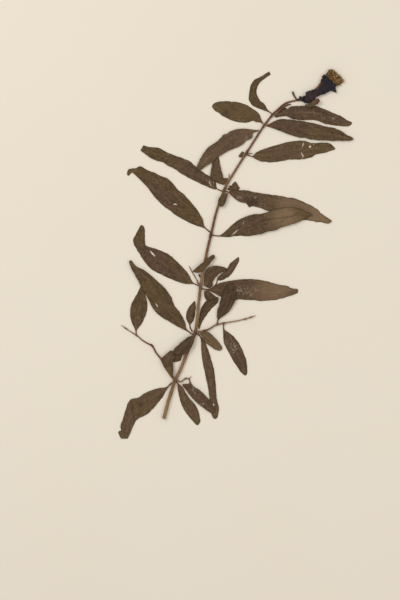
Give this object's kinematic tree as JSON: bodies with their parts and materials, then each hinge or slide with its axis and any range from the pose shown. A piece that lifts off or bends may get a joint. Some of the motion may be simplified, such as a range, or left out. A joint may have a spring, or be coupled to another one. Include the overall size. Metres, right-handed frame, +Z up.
{
  "type": "cut pomegranate branch, pressed and dried",
  "caption": "Flowering pomegranate branch, cut, pressed flat and dried, with a thorny stem, narrow leaves and a flower; lies on a surface as a botanical specimen.",
  "frame": {"origin": "middle of the underside of the whole branch, on the surface that it lies on", "axes": "+Y from the cut end of the stem towards the flower, +X to the right as the pressed face is seen, +Z up out of the surface"},
  "size_m": [0.1804, 0.2838, 0.0049],
  "materials": {
    "bark": "matt red-brown bark with a grey-tan weathered side",
    "dry_leaf": "matt, papery dried leaf",
    "calyx": "satin, leathery, blue-black",
    "dried_petal": "matt, crumpled",
    "bud": "satin, olive to red-brown"
  },
  "bodies": {
    "root": {"flower_bud": "bud", "flower_calyx": "calyx", "flower_petals": "dried_petal", "flower_stalk": "calyx", "leaf_a_down": "dry_leaf", "leaf_a_fold": "dry_leaf", "leaf_a_left": "dry_leaf", "leaf_a_long": "dry_leaf", "leaf_a_side": "dry_leaf", "leaf_b_left": "dry_leaf", "leaf_b_low": "dry_leaf", "leaf_b_right": "dry_leaf", "leaf_b_round": "dry_leaf", "leaf_b_slim": "dry_leaf", "leaf_b_up": "dry_leaf", "leaf_c_broad": "dry_leaf", "leaf_c_cross": "dry_leaf", "leaf_c_left": "dry_leaf", "leaf_c_pointed": "dry_leaf", "leaf_c_right": "dry_leaf", "leaf_c_sliver": "dry_leaf", "leaf_c_under": "dry_leaf", "leaf_d_left": "dry_leaf", "leaf_d_right": "dry_leaf", "leaf_e_down": "dry_leaf", "leaf_e_folded": "dry_leaf", "leaf_e_long": "dry_leaf", "leaf_e_right": "dry_leaf", "leaf_e_up": "dry_leaf", "leaf_f_right": "dry_leaf", "leaf_f_small": "dry_leaf", "leaf_g_left": "dry_leaf", "leaf_g_low": "dry_leaf", "leaf_g_right": "dry_leaf", "leaf_h_curled": "dry_leaf", "leaf_h_right": "dry_leaf", "leaf_left_twig": "dry_leaf", "leaf_right_twig_down": "dry_leaf", "leaf_right_twig_up": "dry_leaf", "main_stem": "bark", "spur_top": "bark", "stub_top": "bark", "stub_upper": "bark", "thorn_middle": "bark", "thorn_upper": "bark", "twig_left": "bark", "twig_low": "bark", "twig_right": "bark"}
  },
  "joints": []
}
